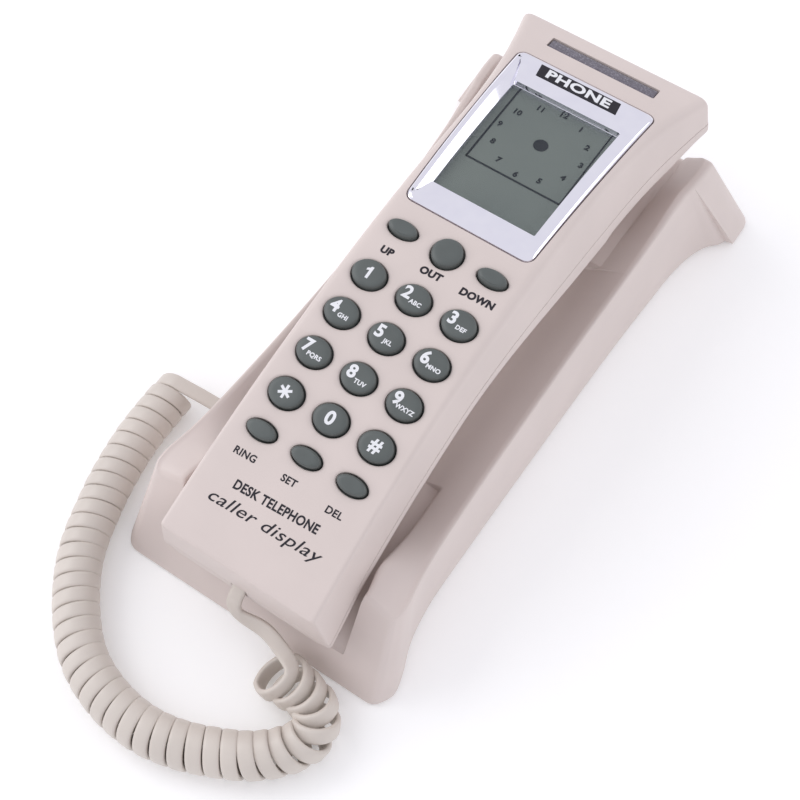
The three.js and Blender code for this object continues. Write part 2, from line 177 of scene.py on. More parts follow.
def rounded(corners, steps=5):
    """An open outline through corners (x, y, radius), each with a radius rounded by steps + 1 points."""
    made = []
    for i, (x, y, radius) in enumerate(corners):
        here = np.array([x, y], float)
        if radius == 0:
            made.append(here)
            continue
        before = np.array(corners[i - 1][:2], float) - here
        after = np.array(corners[i + 1][:2], float) - here
        la, lb = np.linalg.norm(before), np.linalg.norm(after)
        before, after = before / max(la, 1e-6), after / max(lb, 1e-6)
        reach = min(radius, 0.45 * la, 0.45 * lb)
        a, b = here + before * reach, here + after * reach
        for k in range(steps + 1):
            t = k / steps
            made.append((1 - t) ** 2 * a + 2 * t * (1 - t) * here + t * t * b)
    return made


def with_arcs(straights, arc):
    """Span counts for an outline whose straight stretches have arcs between them."""
    counts = [straights[0]]
    for straight in straights[1:]:
        counts += [1] * arc + [straight]
    return counts


def divided(outline, counts):
    """The outline with counts[i] spans between its points i and i + 1."""
    made = [np.array(outline[0], float)]
    for i in range(len(outline) - 1):
        a, b = np.array(outline[i], float), np.array(outline[i + 1], float)
        for k in range(1, counts[i] + 1):
            made.append(a + (b - a) * k / counts[i])
    return made


def both_sides(half):
    """A closed outline from its right-hand half, which starts and ends on the middle line."""
    return list(half) + [np.array([-x, y]) for x, y in list(half)[-2:0:-1]]


def spline(points, per_span=12):
    """Catmull-Rom curve through the points."""
    p = [np.array(q, float) for q in points]
    p = [2 * p[0] - p[1]] + p + [2 * p[-1] - p[-2]]
    made = []
    for i in range(1, len(p) - 2):
        for k in range(per_span):
            t = k / per_span
            made.append(0.5 * (2 * p[i] + (p[i + 1] - p[i - 1]) * t
                               + (2 * p[i - 1] - 5 * p[i] + 4 * p[i + 1] - p[i + 2]) * t * t
                               + (3 * p[i] - p[i - 1] - 3 * p[i + 1] + p[i + 2]) * t ** 3))
    made.append(p[-2])
    return np.array(made)


def lengths(path):
    return np.concatenate([[0], np.cumsum(np.linalg.norm(np.diff(path, axis=0), axis=1))])


def gently(ys, values, y):
    """Monotone cubic through (ys, values)."""
    ys, values = np.array(ys, float), np.array(values, float)
    h = np.diff(ys)
    d = np.diff(values) / h
    m = np.concatenate([[d[0]], (d[:-1] + d[1:]) / 2, [d[-1]]])
    m[1:-1][d[:-1] * d[1:] <= 0] = 0
    for i, slope in enumerate(d):
        if slope == 0:
            m[i] = m[i + 1] = 0
            continue
        a, b = m[i] / slope, m[i + 1] / slope
        size = a * a + b * b
        if size > 9:
            m[i], m[i + 1] = 3 * a * slope / math.sqrt(size), 3 * b * slope / math.sqrt(size)
    i = int(np.clip(np.searchsorted(ys, y) - 1, 0, len(h) - 1))
    t = (y - ys[i]) / h[i]
    return (values[i] * (1 + 2 * t) * (1 - t) ** 2 + m[i] * h[i] * t * (1 - t) ** 2
            + values[i + 1] * t * t * (3 - 2 * t) + m[i + 1] * h[i] * t * t * (t - 1))


# ---------------------------------------------------------------- materials
def principled(name, color, roughness, metallic=0.0, coat=0.0, specular=0.5):
    material = bpy.data.materials.new(name)
    material.use_nodes = True
    shader = material.node_tree.nodes["Principled BSDF"]
    shader.inputs["Base Color"].default_value = (*color, 1)
    shader.inputs["Roughness"].default_value = roughness
    shader.inputs["Metallic"].default_value = metallic
    shader.inputs["Coat Weight"].default_value = coat
    shader.inputs["Coat Roughness"].default_value = 0.15
    shader.inputs["Specular IOR Level"].default_value = specular
    return material, material.node_tree, shader


def add_noise(tree, scale, detail=2.0, roughness=0.5):
    place = tree.nodes.new("ShaderNodeTexCoord")
    noise = tree.nodes.new("ShaderNodeTexNoise")
    noise.inputs["Scale"].default_value = scale
    noise.inputs["Detail"].default_value = detail
    noise.inputs["Roughness"].default_value = roughness
    tree.links.new(place.outputs["Object"], noise.inputs["Vector"])
    return noise


def add_ramp(tree, source, stops):
    ramp = tree.nodes.new("ShaderNodeValToRGB")
    tree.links.new(source, ramp.inputs["Fac"])
    elements = ramp.color_ramp.elements
    while len(elements) < len(stops):
        elements.new(0.5)
    for element, (position, color) in zip(elements, stops):
        element.position = position
        element.color = (*color, 1)
    return ramp


def add_bump(tree, shader, height, strength, distance):
    bump = tree.nodes.new("ShaderNodeBump")
    bump.inputs["Strength"].default_value = strength
    bump.inputs["Distance"].default_value = distance
    tree.links.new(height, bump.inputs["Height"])
    tree.links.new(bump.outputs["Normal"], shader.inputs["Normal"])


def plastic(name, color, roughness, shade=0.04, grain=2600, bump=0.05, coat=0.0, blotch=45, specular=0.5):
    """Moulded plastic: slow colour drift, a fine eroded grain and roughness that varies a little."""
    material, tree, shader = principled(name, color, roughness, coat=coat, specular=specular)
    slow = add_noise(tree, blotch, 3)
    darker = tuple(c * (1 - shade) for c in color)
    lighter = tuple(min(1, c * (1 + shade * 0.6)) for c in color)
    tint = add_ramp(tree, slow.outputs["Fac"], [(0.3, darker), (0.7, lighter)])
    tree.links.new(tint.outputs["Color"], shader.inputs["Base Color"])
    fine = add_noise(tree, grain, 1.5)
    rough = tree.nodes.new("ShaderNodeMapRange")
    rough.inputs["To Min"].default_value = max(0.02, roughness - 0.05)
    rough.inputs["To Max"].default_value = min(1, roughness + 0.05)
    tree.links.new(fine.outputs["Fac"], rough.inputs["Value"])
    tree.links.new(rough.outputs["Result"], shader.inputs["Roughness"])
    add_bump(tree, shader, fine.outputs["Fac"], bump, 0.0001)
    return material


def brushed(name, color, roughness, stretch=(1, 1, 12), scale=900):
    """Metal with fine drawn lines."""
    material, tree, shader = principled(name, color, roughness, metallic=1.0)
    lines = add_noise(tree, scale, 3)
    mapping = tree.nodes.new("ShaderNodeMapping")
    mapping.inputs["Scale"].default_value = stretch
    tree.links.new(lines.inputs["Vector"].links[0].from_socket, mapping.inputs["Vector"])
    tree.links.new(mapping.outputs["Vector"], lines.inputs["Vector"])
    tint = add_ramp(tree, lines.outputs["Fac"], [(0.3, tuple(c * 0.9 for c in color)), (0.7, color)])
    tree.links.new(tint.outputs["Color"], shader.inputs["Base Color"])
    add_bump(tree, shader, lines.outputs["Fac"], 0.05, 0.00005)
    return material


def chrome_material():
    """Vacuum-plated plastic: mirror bright, with the faintest orange peel."""
    material, tree, shader = principled("chrome_plate", (0.92, 0.91, 0.99), 0.06, metallic=1.0)
    peel = add_noise(tree, 220, 1)
    tint = add_ramp(tree, peel.outputs["Fac"], [(0.3, (0.90, 0.89, 0.975)), (0.7, (0.93, 0.92, 0.995))])
    tree.links.new(tint.outputs["Color"], shader.inputs["Base Color"])
    add_bump(tree, shader, peel.outputs["Fac"], 0.02, 0.0001)
    return material


def board_material():
    """Solder mask with faint copper tracks under it."""
    material, tree, shader = principled("solder_mask", (0.02, 0.14, 0.06), 0.35)
    brick = tree.nodes.new("ShaderNodeTexBrick")
    brick.inputs["Scale"].default_value = 260
    brick.inputs["Color1"].default_value = (0.02, 0.14, 0.06, 1)
    brick.inputs["Color2"].default_value = (0.025, 0.17, 0.07, 1)
    brick.inputs["Mortar"].default_value = (0.06, 0.24, 0.09, 1)
    place = tree.nodes.new("ShaderNodeTexCoord")
    tree.links.new(place.outputs["Object"], brick.inputs["Vector"])
    tree.links.new(brick.outputs["Color"], shader.inputs["Base Color"])
    return material


def lens_material():
    """Smoky moulded lens, grainy inside."""
    material, tree, shader = principled("smoky_lens", (0.12, 0.11, 0.13), 0.22, coat=0.6)
    grains = add_noise(tree, 1500, 4, 0.7)
    stops = [(0.32, (0.075, 0.065, 0.085)), (0.55, (0.15, 0.135, 0.17)), (0.74, (0.34, 0.32, 0.37))]
    tint = add_ramp(tree, grains.outputs["Fac"], stops)
    tree.links.new(tint.outputs["Color"], shader.inputs["Base Color"])
    add_bump(tree, shader, grains.outputs["Fac"], 0.12, 0.0001)
    return material


def panel_material():
    """Liquid-crystal panel: grey-green with a faint pixel grid."""
    material, tree, shader = principled("liquid_crystal", (0.125, 0.15, 0.14), 0.35, coat=0.15)
    slow = add_noise(tree, 30, 2)
    stops = [(0.35, (0.118, 0.143, 0.134)), (0.65, (0.134, 0.16, 0.147))]
    tint = add_ramp(tree, slow.outputs["Fac"], stops)
    tree.links.new(tint.outputs["Color"], shader.inputs["Base Color"])
    grid = tree.nodes.new("ShaderNodeTexBrick")
    grid.inputs["Scale"].default_value = 1800
    place = tree.nodes.new("ShaderNodeTexCoord")
    tree.links.new(place.outputs["Object"], grid.inputs["Vector"])
    add_bump(tree, shader, grid.outputs["Fac"], 0.02, 0.00005)
    return material


def window_material():
    """Clear window: almost all of it lets the panel through."""
    material, tree, shader = principled("clear_window", (0.75, 0.8, 0.78), 0.05)
    shader.inputs["Alpha"].default_value = 0.015
    haze = add_noise(tree, 60, 2)
    rough = tree.nodes.new("ShaderNodeMapRange")
    rough.inputs["To Min"].default_value = 0.03
    rough.inputs["To Max"].default_value = 0.08
    tree.links.new(haze.outputs["Fac"], rough.inputs["Value"])
    tree.links.new(rough.outputs["Result"], shader.inputs["Roughness"])
    return material


SHELL = plastic("shell_plastic", (0.70, 0.612, 0.578), 0.42, shade=0.03, bump=0.06)
KEYCAP = plastic("key_plastic", (0.102, 0.116, 0.112), 0.44, shade=0.08, blotch=160, bump=0.08)
CHROME = chrome_material()
WINDOW = window_material()
PANEL = panel_material()
LENS = lens_material()
VINYL = plastic("cord_vinyl", (0.66, 0.60, 0.545), 0.4, shade=0.05, grain=1500, bump=0.04)
BOARD = board_material()
RUBBER = plastic("grey_rubber", (0.24, 0.23, 0.225), 0.85, shade=0.12, grain=1800, bump=0.2, blotch=200)
STEEL = brushed("drawn_steel", (0.55, 0.56, 0.58), 0.32)
DARK = plastic("dark_plastic", (0.03, 0.03, 0.033), 0.5, shade=0.15, bump=0.1)
CLEAR = plastic("clear_plug_plastic", (0.72, 0.73, 0.76), 0.15, shade=0.05, bump=0.02, coat=0.3)
WHITE_INK = plastic("white_ink", (0.82, 0.83, 0.86), 0.5, shade=0.03, bump=0.03, blotch=500)
DARK_INK = plastic("dark_ink", (0.028, 0.026, 0.033), 0.6, shade=0.1, bump=0.03, blotch=500,
                   specular=0.2)
SEGMENT_INK = plastic("display_segments", (0.03, 0.034, 0.042), 0.7, shade=0.1, bump=0.02, blotch=500,
                      specular=0.05)


# ---------------------------------------------------------------- cord
COIL_ROUTE = [
    (17.6, -121), (27, -121), (34.6, -123.6), (37.6, -130.4), (34, -138), (26.8, -144.8), (17.4, -149.9),
    (6.4, -154.2), (-6, -156.2), (-20.1, -154.4), (-33.7, -148.5), (-46, -137.0), (-55.4, -122.8),
    (-61.2, -106.1), (-64.2, -93.3), (-66.0, -79.5), (-66.3, -61),
]
HANDSET_TAIL = [  # points, each with the way the ribbon's flat side faces there
    ((-2, -108.9, 26.6), (0, -0.6, 0.8)),
    ((-1.95, -110, 24.3), (0, -0.9, 0.45)),
    ((-1.8, -112.4, 22.4), (0, -0.7, 0.7)),
    ((-1.2, -114, 19.8), (0, -0.9, 0.4)),
    ((1.6, -114.4, 17.2), (0.1, -0.9, 0.4)),
    ((9.3, -113.7, 15.4), (0.2, -0.6, 0.8)),
    ((16.8, -115.6, 14.2), (0.5, -0.3, 0.8)),
    ((22, -118, 13.2), (0.75, 0, 0.65)),
]
BASE_TAIL = [(-62.5, -60.7, 13.3), (-57, -60, 12.2), (-51, -59.3, 10.8), (-45.4, -59, 10)]
PITCH = [  # share of the route, millimetres per turn
    (0.0, 5.4), (0.05, 5.8), (0.12, 5.6), (0.2, 5.3), (0.32, 5.05), (0.5, 4.95), (0.7, 4.95), (1.0, 5.05),
]
JOIN_SPAN = 10  # points on each side of a join that are eased
STEPS_PER_TURN = 26
FIRST_LEAN = math.radians(52)  # how far the first turn leans over
FIRST_GROWTH = 1.4  # how much wider the first loop is
ON_TOP = 0.25  # the share of a turn at which the ribbon is on top of the coil


def coil_points():
    """Points of the helix, and the outward direction at each."""
    axis = spline([(x, y, COIL_HEIGHT) for x, y in COIL_ROUTE], 40)
    along = lengths(axis)
    total = along[-1]
    radius = COIL_RADIUS - RIBBON_THICK / 2
    fine = np.linspace(0, total, 4000)
    rate = 1 / np.interp(fine / total, *zip(*PITCH))
    count = np.concatenate([[0], np.cumsum((rate[1:] + rate[:-1]) / 2 * np.diff(fine))])
    turns = round(count[-1])
    count *= turns / count[-1]
    points, outward = [], []
    for turn in np.linspace(0, turns, turns * STEPS_PER_TURN + 1):
        s = np.interp(turn, count, fine)
        centre, ahead, behind = (np.array([np.interp(t, along, axis[:, k]) for k in range(3)])
                                 for t in (s, s + 0.5, s - 0.5))
        forward = (ahead - behind) / np.linalg.norm(ahead - behind)
        side = np.array([forward[1], -forward[0], 0])
        lean = FIRST_LEAN * (1 - smooth(turn, 1.0, 10.0))
        up = np.array([0, 0, math.cos(lean)]) + forward * math.sin(lean)
        turning = 2 * math.pi * (turn + ON_TOP)
        facing = -math.cos(turning) * side + math.sin(turning) * up
        points.append(centre + (radius + FIRST_GROWTH * (1 - smooth(turn, 0.2, 2.2))) * facing)
        outward.append(facing)
    return np.array(points), np.array(outward)


def curly_cord():
    helix, outward = coil_points()
    tail_points, tail_facing = zip(*HANDSET_TAIL)
    head = spline(list(tail_points) + [tuple(helix[0])], 10)[:-1]
    head_facing = spline(list(tail_facing) + [tuple(outward[0])], 10)[:-1]
    tail = spline([tuple(helix[-1])] + BASE_TAIL, 10)[1:]
    path = np.concatenate([head, helix, tail])
    facing = np.concatenate([head_facing, outward, np.tile([0.0, 0, 1], (len(tail), 1))])
    start, end = len(head), len(head) + len(helix)
    near = np.abs(np.arange(len(path)) - start) < JOIN_SPAN
    near |= np.abs(np.arange(len(path)) - end) < JOIN_SPAN
    near[0] = near[-1] = False
    for _ in range(6):
        for line in (path, facing):
            softer = line.copy()
            softer[1:-1] = (line[:-2] + 2 * line[1:-1] + line[2:]) / 4
            line[near] = softer[near]
    tangent = np.gradient(path, axis=0)
    tangent /= np.linalg.norm(tangent, axis=1)[:, None]
    width = np.cross(tangent, facing)
    width /= np.linalg.norm(width, axis=1)[:, None]
    outline = [(math.copysign(abs(math.cos(a)) ** 0.45, math.cos(a)) * RIBBON_WIDTH / 2,
                math.copysign(abs(math.sin(a)) ** 0.6, math.sin(a)) * RIBBON_THICK / 2)
               for a in np.linspace(0, 2 * math.pi, 14, endpoint=False)]
    rings = []
    for p, t, w in zip(path, tangent, width):
        n = np.cross(t, w)
        rings.append([p + u * w + v * n for u, v in outline])
    cord = new_object("curly_cord", *skin(rings), VINYL, 60)
    return cord, path


cord, cord_path = curly_cord()
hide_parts("cord_coil", "cord_tail_handset", "cord_tail_base")
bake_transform(cord)


# ---------------------------------------------------------------- handset shape
def on_arch(x, s, h):
    """The handset's own frame: across, along the arched face from its apex, and down into the handset."""
    turn = s / ARC_RADIUS
    reach = ARC_RADIUS - h
    return np.array([x, APEX_Y + reach * math.sin(turn), APEX_Z - ARC_RADIUS + reach * math.cos(turn)])


def widening(s):
    far = max(0.0, (s - 10) / 70)
    near = max(0.0, (-60 - s) / 75)
    return 9.1 * far ** 2.5 + 1.5 * near ** 1.5


def seam_depth(s):
    """Depth of the joint between the shells, which runs straighter than the arch."""
    towards_end = max(0.0, (s - 25) / 56) ** 1.6
    near_drop = 3 * (1 - smooth(s, FACE_NEAR, -118))
    return SEAM_DEPTH + 5.2 * smooth(s, -60, 25) - 9.6 * towards_end + near_drop


def edge_depth(s):
    """Depth of the soft edge under the seam, where the underside begins to tuck in."""
    at_ends = 1.4 * (1 - smooth(s, FACE_NEAR, -112)) + 2.6 * smooth(s, 62, 81)
    return seam_depth(s) + 3.5 + 2.6 * smooth(s, -60, 20) - at_ends


def ear_cup(s):
    return smooth(s, 24, 36) - smooth(s, 66, 78)


def mouth_cup(s):
    return smooth(s, -137, -127) - smooth(s, -100, -82)


def underside_depth(s):
    body = GRIP_DEPTH + 4.6 * smooth(s, -60, 15) - 9.6 * smooth(s, 70, FACE_FAR)
    return body + 4.4 * mouth_cup(s) + 10 * ear_cup(s)


def end_rounding(s, inset, near_radius, far_radius):
    """How far the outline draws in close to either end."""
    drawn = 0.0
    for distance, radius in ((s - FACE_NEAR - inset, near_radius), (FACE_FAR - inset - s, far_radius)):
        if distance < radius:
            drawn += radius - math.sqrt(max(0.0, radius ** 2 - (radius - distance) ** 2))
    return drawn


def shell_stations(inset, near_radius, far_radius, step=2.0):
    low, high = FACE_NEAR + inset, FACE_FAR - inset
    near = [low + near_radius * (1 - math.cos(a)) for a in np.linspace(0, math.pi / 2, 8)]
    far = [high - far_radius * (1 - math.cos(a)) for a in np.linspace(math.pi / 2, 0, 7)]
    middle = np.linspace(near[-1], far[0], int((far[0] - near[-1]) / step))[1:-1]
    return near + list(middle) + far


def rake(s, h):
    """The arc length moved outward with depth near the ends, whose faces slope."""
    far = 0.26 * smooth(s, FACE_FAR - RAKE_REACH, FACE_FAR)
    near = 0.36 * (1 - smooth(s, FACE_NEAR, FACE_NEAR + RAKE_REACH))
    return s + (far - near) * h


def side_at(h):
    """How much further out the side is at depth h than at the face's edge."""
    return 0.2 * h


def front_rings(inset, edge_radius, near_radius, far_radius, bottom):
    rings = []
    for s in shell_stations(inset, near_radius, far_radius):
        drawn = end_rounding(s, inset, near_radius, far_radius)
        half = FACE_HALF + widening(s) - inset - drawn
        top = inset + drawn
        low = seam_depth(s) + bottom
        soft = edge_radius * (0.38 + 0.62 * smooth(s, -100, -10))
        corners = [(0, top, 0), (half, top, soft), (half + side_at(low), low, 0), (0, low, 0)]
        outline = rounded(corners, 7)
        counts = [10] + [1] * 7 + [5, 6]
        section = both_sides(divided(outline, counts))
        rings.append([on_arch(x, rake(s, h), h) for x, h in section])
    return rings


def rear_rings(inset, near_radius, far_radius, top):
    rings = []
    for s in shell_stations(inset, near_radius, far_radius):
        drawn = end_rounding(s, inset, near_radius, far_radius)
        depth = underside_depth(s) - inset - 0.6 * drawn
        start = seam_depth(s) + top
        edge = min(edge_depth(s) - 0.4 * inset, depth - 0.6)
        half = FACE_HALF + widening(s) - inset - drawn
        cup = max(ear_cup(s), mouth_cup(s))
        low_half = (half + side_at(edge)) * (1 - 0.27 * cup) - 4
        shoulder = (half + side_at(edge)) * (1 - 0.22 * cup) - 2.4
        shoulder_depth = edge + (0.3 - 0.12 * cup) * (depth - edge)
        corners = [
            (0, start, 0), (half + side_at(start), start, 0.01), (half + side_at(edge), edge, 2.4),
            (shoulder, shoulder_depth, 1.6), (low_half, depth, 4.0), (0, depth, 0),
        ]
        outline = rounded(corners, 6)
        section = both_sides(divided(outline, with_arcs([6, 2, 1, 2, 8], 6)))
        rings.append([on_arch(x, rake(s, h), h) for x, h in section])
    return rings


def plank(s_from, s_to, half_at, top, bottom, corner=0.0, steps=24):
    """A plate that follows the arch, with rounded plan corners."""
    radius = max(corner, 1e-4)
    ends = [radius * (1 - math.cos(a)) for a in np.linspace(0, math.pi / 2, 6)]
    near = [s_from + e for e in ends] if corner else [s_from]
    far = [s_to - e for e in reversed(ends)] if corner else [s_to]
    middle = list(np.linspace(near[-1], far[0], steps)[1:-1])
    rings = []
    for s in near + middle + far:
        distance = min(s - s_from, s_to - s)
        drawn = 0.0
        if corner and distance < radius:
            drawn = radius - math.sqrt(max(0.0, radius ** 2 - (radius - distance) ** 2))
        half = half_at(s) - drawn
        rings.append([on_arch(x, s, h) for x, h in
                      ((-half, top), (half, top), (half, bottom), (-half, bottom))])
    return skin(rings)


def outline_half(outline, grow=0.0):
    span = outline["far"] - outline["near"]
    change = outline["far_half"] - outline["near_half"]
    return lambda s: outline["near_half"] + change * (s - outline["near"]) / span + grow


def key_frame(node):
    """A key's middle on the arch: its x and its arc length."""
    low, high = node_box(node)
    middle = (low + high) / 2
    centre = np.array([APEX_Y, APEX_Z - ARC_RADIUS])
    offset = middle[1:] - centre
    return middle[0], ARC_RADIUS * math.atan2(offset[0], offset[1])


KEY_NODES = sorted(n for n in frame["nodes"] if n.startswith("key_"))
KEY_FLANGE = 1.0  # how far the CAD key's hidden rim stands out round its cap
SHORT_RADIUS = {5.4: 4.5, 4.8: 2.6}  # an oval cap's half width, and its half length along the arch


def radii(node):
    """Half width and half length of a key's cap."""
    low, high = node_box(node)
    a = round((high[0] - low[0]) / 2 - KEY_FLANGE, 2)
    return (a, a) if node == "key_out" else (a, SHORT_RADIUS[min(SHORT_RADIUS, key=lambda r: abs(r - a))])


def placed_on_arch(points, x, s):
    """Points given in a flat frame that touches the arch at x and s: right, along, and up."""
    turn = s / ARC_RADIUS
    across = np.array([1.0, 0, 0])
    along = np.array([0, math.cos(turn), -math.sin(turn)])
    up = np.array([0, math.sin(turn), math.cos(turn)])
    origin = on_arch(x, s, 0)
    return [origin + across * p[0] + along * p[1] + up * p[2] for p in points]


def oval_rings(a, b, profile, sides=40):
    """Rings of an oval from a list of (how far out from the radii, height)."""
    rings = []
    for out, z in profile:
        rings.append([(max(0.05, a + out) * math.cos(t), max(0.05, b + out) * math.sin(t), z)
                      for t in np.linspace(0, 2 * math.pi, sides, endpoint=False)])
    return rings


def key_hole(node):
    """The hole round a key, with the shallow dish at its mouth."""
    x, s = key_frame(node)
    a, b = radii(node)
    profile = [(KEY_GAP, -6), (KEY_GAP, -0.5), (KEY_GAP + 0.15, -0.2), (KEY_GAP + 0.5, -0.05),
               (KEY_GAP + 0.9, 0.05), (KEY_GAP + 1.3, 0.5)]
    rings = [placed_on_arch(ring, x, s) for ring in oval_rings(a, b, profile, 48)]
    return skin(rings)


def handset_front():
    shell = new_object("handset_front", *skin(front_rings(0, 3.2, 1.2, 2.4, 0.0)))
    hollow = new_object("hollow", *skin(front_rings(WALL, 1.5, 2.0, 1.5, 1.0)))
    boolean(shell, "DIFFERENCE", hollow)
    boolean(shell, "DIFFERENCE", merged("holes", [key_hole(node) for node in KEY_NODES]))
    recess = plank(BEZEL["near"] - 0.35, BEZEL["far"] + 0.35, outline_half(BEZEL, 0.35), -2, 2.0, 3.2)
    boolean(shell, "DIFFERENCE", new_object("recess", *recess))
    opening = plank(SCREEN["near"] - 1, SCREEN["far"] + 1, outline_half(SCREEN, 1), -2, 6)
    boolean(shell, "DIFFERENCE", new_object("opening", *opening))
    slot = plank(LAMP["near"] - GAP, LAMP["far"] + GAP, lambda s: LAMP["half"] + GAP, -4, 6, 0.5)
    boolean(shell, "DIFFERENCE", new_object("slot", *slot))
    cut_cord_notch(shell)
    return shell


def box_points(low, high):
    plan = ((low[0], low[1]), (high[0], low[1]), (high[0], high[1]), (low[0], high[1]))
    return skin([[(x, y, z) for x, y in plan] for z in (low[2], high[2])])


def cut_cord_notch(shell):
    """Cuts the slot the ribbon leaves by, and behind it the pocket that holds the plug."""
    low, high = node_box("handset_plug")
    middle = (low + high) / 2
    x, z = middle[0], middle[2]
    half = RIBBON_WIDTH / 2 + 0.35
    pocket = box_points(low - np.array([0.8, 0.3, 0.9]), high + np.array([0.8, 1.5, 0.9]))
    slot = box_points((x - half, low[1] - 5, z - 5), (x + half, low[1], z - 0.6))
    boolean(shell, "DIFFERENCE", new_object("pocket", *pocket))
    boolean(shell, "DIFFERENCE", new_object("slot", *slot))


def handset_rear():
    shell = new_object("handset_rear", *skin(rear_rings(0, 1.2, 2.2, GAP)))
    hollow = new_object("hollow", *skin(rear_rings(WALL, 2.0, 1.5, -1.0)))
    boolean(shell, "DIFFERENCE", hollow)
    cut_cord_notch(shell)
    return shell


def dress(obj, body, material, slot, *nodes, angle=35):
    obj.data.materials.clear()
    obj.data.materials.append(material)
    finish_mesh(obj, angle)
    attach(obj, body)
    if nodes:
        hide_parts(*nodes)
    return obj


dress(handset_front(), "handset", SHELL, "shell", "handset_front_shell", angle=28)
dress(handset_rear(), "handset", SHELL, "shell", "handset_rear_shell", angle=28)


# ---------------------------------------------------------------- display
def frame_outline(outline, corner, grow=0.0, per_corner=8, per_side=14):
    """Plan points (x, s) round the outline, counter-clockwise, the same count for every outline."""
    near, far = outline["near"] - grow, outline["far"] + grow
    half = outline_half(outline, grow)
    corners = [(half(near), near), (half(far), far), (-half(far), far), (-half(near), near)]
    points = []
    for i, (x, s) in enumerate(corners):
        here = np.array([x, s])
        before = np.array(corners[i - 1]) - here
        after = np.array(corners[(i + 1) % 4]) - here
        a = here + before / np.linalg.norm(before) * corner
        b = here + after / np.linalg.norm(after) * corner
        for k in range(per_corner + 1):
            t = k / per_corner
            points.append((1 - t) ** 2 * a + 2 * t * (1 - t) * here + t * t * b)
        following = np.array(corners[(i + 1) % 4])
        back = here - following
        end = following + back / np.linalg.norm(back) * corner
        for k in range(1, per_side):
            points.append(b + (end - b) * k / per_side)
    return points


BEVEL_TIPS = [np.array([-22.9, 57.0]), np.array([-20.5, -10.8])]  # far and near ends of the wide bevel


def mitred(points, per_corner=8, per_side=14):
    """The outline with its left corners drawn out along the mitres to the tips of the left-hand bevel."""
    made = [np.array(p) for p in points]
    far_first = 2 * (per_corner + per_side)
    near_first = 3 * (per_corner + per_side)
    far_tip, near_tip = BEVEL_TIPS
    far_inside, near_inside = made[far_first], made[near_first + per_corner]
    for k in range(per_corner + 1):
        share = k / per_corner
        made[far_first + k] = far_inside + (far_tip - far_inside) * share
        made[near_first + k] = near_inside + (near_tip - near_inside) * (1 - share)
    for k in range(1, per_side):
        made[far_first + per_corner + k] = far_tip + (near_tip - far_tip) * k / per_side
    return made


def display_frame():
    """Chrome frame: a flat land with a soft outer edge, a wide bevel on the left, steep ones elsewhere."""
    layers = [
        (frame_outline(SCREEN, 0.4), 3.4), (frame_outline(SCREEN, 0.4), 1.3),
        (frame_outline(SCREEN, 0.5, 0.1), 1.1), (mitred(frame_outline(SCREEN, 0.5, 0.25)), -0.5),
        (mitred(frame_outline(SCREEN, 0.6, 0.45)), -0.62), (frame_outline(BEZEL, 3.0, -0.9), -0.62),
        (frame_outline(BEZEL, 3.1, -0.5), -0.42), (frame_outline(BEZEL, 3.2, -0.15), -0.1),
        (frame_outline(BEZEL, 3.2), 0.3), (frame_outline(BEZEL, 3.2), 1.9),
        (frame_outline(SCREEN, 0.6, 0.8), 1.9), (frame_outline(SCREEN, 0.6, 0.8), 3.4),
    ]
    count = len(layers[0][0])
    rings = []
    for i in range(count):
        rings.append([on_arch(layer[i][0], layer[i][1], h) for layer, h in layers])
    return new_object("chrome_frame", *skin(rings, closed=True))


dress(display_frame(), "handset", CHROME, "bezel_chrome", "display_bezel", angle=24)


def arch_ink(name, outlines, depth, thickness, material, slot="display"):
    """Thin raised shapes on the arch from closed plan outlines (x, s)."""
    pieces = []
    for outline in outlines:
        pieces.append(skin([[on_arch(x, s, h) for x, s in outline] for h in (depth, depth - thickness)]))
    piece = merged(name, pieces)
    return dress(piece, "handset", material, slot)


def bar(x0, s0, x1, s1, width):
    a, b = np.array([x0, s0], float), np.array([x1, s1], float)
    along = (b - a) / np.linalg.norm(b - a)
    across = np.array([-along[1], along[0]]) * width / 2
    a, b = a - along * width / 2, b + along * width / 2
    return [a - across, b - across, b + across, a + across]


def text_shape(text, size, weight=0.0):
    """Points (x, y) and faces of flat text centred on the origin, in millimetres."""
    curve = bpy.data.curves.new("text", "FONT")
    curve.body = text
    curve.align_x = "CENTER"
    curve.align_y = "CENTER"
    curve.size = size
    curve.space_character = 1.06
    curve.offset = weight
    curve.resolution_u = 4
    obj = bpy.data.objects.new("text", curve)
    bpy.context.scene.collection.objects.link(obj)
    graph = bpy.context.evaluated_depsgraph_get()
    mesh = bpy.data.meshes.new_from_object(obj.evaluated_get(graph))
    bpy.data.objects.remove(obj)
    bm = bmesh.new()
    bm.from_mesh(mesh)
    bmesh.ops.remove_doubles(bm, verts=bm.verts, dist=0.001)
    points = [(v.co.x, v.co.y) for v in bm.verts]
    bm.verts.index_update()
    faces = [tuple(v.index for v in f.verts) for f in bm.faces]
    bm.free()
    bpy.data.meshes.remove(mesh)
    return points, faces


def thick_text(text, size, weight, place, thickness):
    """Solid letters: place(x, y, lift) gives each point; the sides close the two faces."""
    points, faces = text_shape(text, size, weight)
    count = len(points)
    top = [place(x, y, thickness) for x, y in points]
    low = [place(x, y, 0) for x, y in points]
    made = [tuple(f) for f in faces] + [tuple(i + count for i in reversed(f)) for f in faces]
    edges = {}
    for f in faces:
        for i, a in enumerate(f):
            b = f[(i + 1) % len(f)]
            edges[(a, b)] = edges.get((a, b), 0) + 1
    for a, b in edges:
        if (b, a) not in edges:
            made.append((b, a, a + count, b + count))
    return top + low, made


def panel_point(x, s, h):
    """A point over the flat display panel: panel plane at its own tangent, h above it."""
    middle = (SCREEN["near"] + SCREEN["far"]) / 2
    return placed_on_arch([(x, s - middle, h)], 0, middle)[0]


